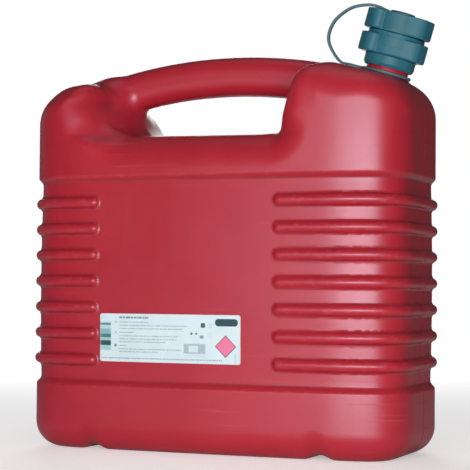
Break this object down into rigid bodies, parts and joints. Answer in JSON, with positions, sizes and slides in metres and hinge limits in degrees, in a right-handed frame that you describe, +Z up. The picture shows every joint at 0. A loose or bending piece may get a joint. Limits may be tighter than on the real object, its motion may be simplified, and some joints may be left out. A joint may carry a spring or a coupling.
{
  "type": "jerry can",
  "caption": "Red moulded fuel can with a hand hole and handle, ribbed ends, tilted neck, union nut with screw cap, cap strap and stored pouring spout.",
  "frame": {"origin": "middle of the tank's base, on the ground", "axes": "+Z up, +X from the handle's tail towards the neck, -Y the labelled front"},
  "size_m": [0.4156, 0.18, 0.451],
  "materials": {
    "tank_red": "satin moulded polyethylene",
    "closure_teal": "satin moulded plastic",
    "strap_teal": "soft matt plastic",
    "spout_black": "matt flexible plastic",
    "seal_rubber": "smooth nitrile rubber",
    "label_paper": "printed plastic film"
  },
  "bodies": {
    "tank": {"tank_shell": "tank_red", "info_label": "label_paper"},
    "spout": {"spout_flange": "spout_black", "spout_hose": "spout_black", "spout_nozzle": "spout_black", "neck_gasket": "seal_rubber"},
    "collar": {"union_nut": "closure_teal", "tether_ring": "strap_teal"},
    "eyelet": {"tether_eyelet": "strap_teal", "tether_strap": "strap_teal"},
    "cap": {"screw_cap": "closure_teal", "cap_gasket": "seal_rubber"}
  },
  "joints": [
    {"name": "closure_lift", "type": "slide", "parent": "tank", "child": "spout", "axis": [0.2756, 0, 0.9613], "range_m": [0, 0.0101]},
    {"name": "collar_turn", "type": "hinge", "parent": "spout", "child": "collar", "pos_m": [0.16719, 0, 0.39953], "axis": [0.2756, 0, 0.9613], "range_deg": [0, 720]},
    {"name": "cap_lift", "type": "slide", "parent": "collar", "child": "eyelet", "axis": [0.2756, 0, 0.9613], "range_m": [0, 0.0081], "deforming": ["tether_strap"]},
    {"name": "cap_turn", "type": "hinge", "parent": "eyelet", "child": "cap", "pos_m": [0.17546, 0, 0.42837], "axis": [0.2756, 0, 0.9613], "range_deg": [0, 720]}
  ],
  "couplings": [
    {"joint": "closure_lift", "follows": "collar_turn", "m_per_rad": 0.00079577},
    {"joint": "cap_lift", "follows": "cap_turn", "m_per_rad": 0.00063662}
  ]
}
